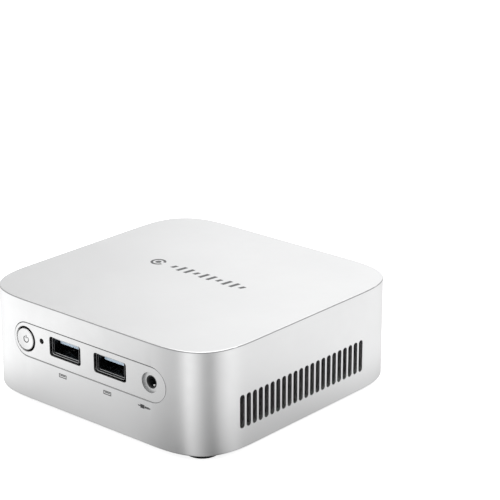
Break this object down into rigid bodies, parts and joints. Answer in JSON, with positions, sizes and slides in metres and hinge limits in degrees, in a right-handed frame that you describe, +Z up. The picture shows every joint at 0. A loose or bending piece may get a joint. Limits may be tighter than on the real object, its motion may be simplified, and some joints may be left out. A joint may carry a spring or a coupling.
{
  "type": "mini pc",
  "caption": "Palm-sized desktop computer: flat soft-cornered aluminium case with side vents, a front port panel with a push button, rear ports, and a fan-cooled board inside.",
  "frame": {"origin": "on the table, under the middle of the case, at the bottom of the feet", "axes": "+Z up, +X to the right when looking at the front, the front faces -Y, the rear ports face +Y"},
  "size_m": [0.112, 0.1096, 0.041],
  "materials": {
    "case_aluminium": "fine bead-blasted and clear-anodised, satin",
    "panel_aluminium": "fine satin",
    "cover_plastic": "fine spark-eroded texture",
    "foot_rubber": "matt",
    "connector_steel": "nickel-plated, lightly worn",
    "screw_steel": "plated",
    "blackened_steel": "black-plated",
    "black_plastic": "moulded",
    "blue_plastic": "moulded",
    "light_pipe": "clear, dark when unlit",
    "circuit_board": "solder mask",
    "brass": "turned",
    "heatsink_aluminium": "extruded, mill finish"
  },
  "bodies": {
    "case": {"top_shell": "case_aluminium", "front_port_panel": "panel_aluminium", "bottom_cover": "cover_plastic", "foot_front_left": "foot_rubber", "foot_front_right": "foot_rubber", "foot_rear_left": "foot_rubber", "foot_rear_right": "foot_rubber", "cover_screw_front_left": "screw_steel", "standoff_front_left": "blackened_steel", "cover_screw_front_right": "screw_steel", "standoff_front_right": "blackened_steel", "cover_screw_rear_left": "screw_steel", "standoff_rear_left": "blackened_steel", "cover_screw_rear_right": "screw_steel", "standoff_rear_right": "blackened_steel", "power_switch": "black_plastic", "status_light_pipe": "light_pipe", "status_light": "light_pipe", "audio_jack": "black_plastic", "front_usb_shell_left": "connector_steel", "front_usb_tongue_left": "blue_plastic", "front_usb_shell_right": "connector_steel", "front_usb_tongue_right": "blue_plastic", "rear_usb_shell_left": "connector_steel", "rear_usb_tongue_left": "black_plastic", "rear_usb_shell_right": "connector_steel", "rear_usb_tongue_right": "black_plastic", "upper_video_port_shell": "connector_steel", "upper_video_port_tongue": "black_plastic", "lower_video_port_shell": "connector_steel", "lower_video_port_tongue": "black_plastic", "video_port_housing": "black_plastic", "ethernet_shell": "connector_steel", "ethernet_socket": "black_plastic", "power_jack": "black_plastic", "power_jack_pin": "connector_steel", "main_board": "circuit_board", "ssd_module": "circuit_board", "ssd_socket": "black_plastic", "ssd_screw": "screw_steel", "memory_module": "circuit_board", "memory_socket": "black_plastic", "radio_card": "circuit_board", "radio_socket": "black_plastic", "coin_cell": "screw_steel", "antenna_left": "black_plastic", "antenna_right": "black_plastic", "processor": "black_plastic", "heatsink": "heatsink_aluminium", "fan_frame": "black_plastic", "fan_bearing": "brass", "fan_stator": "screw_steel", "cooler_screw_front_left": "screw_steel", "cooler_screw_front_right": "screw_steel", "cooler_screw_rear_left": "screw_steel", "cooler_screw_rear_right": "screw_steel"},
    "power_button": {"power_button": "panel_aluminium", "power_switch_plunger": "cover_plastic"},
    "fan": {"fan_rotor": "cover_plastic"}
  },
  "joints": [
    {"name": "power_button_press", "type": "slide", "parent": "case", "child": "power_button", "axis": [0, 1, 0], "range_m": [0, 0.0006], "stiffness_N_per_m": 1000, "springref_m": -0.0005},
    {"name": "fan_spin", "type": "hinge", "parent": "case", "child": "fan", "pos_m": [0, -0.002, 0.0096], "axis": [0, 0, 1], "continuous": true}
  ]
}
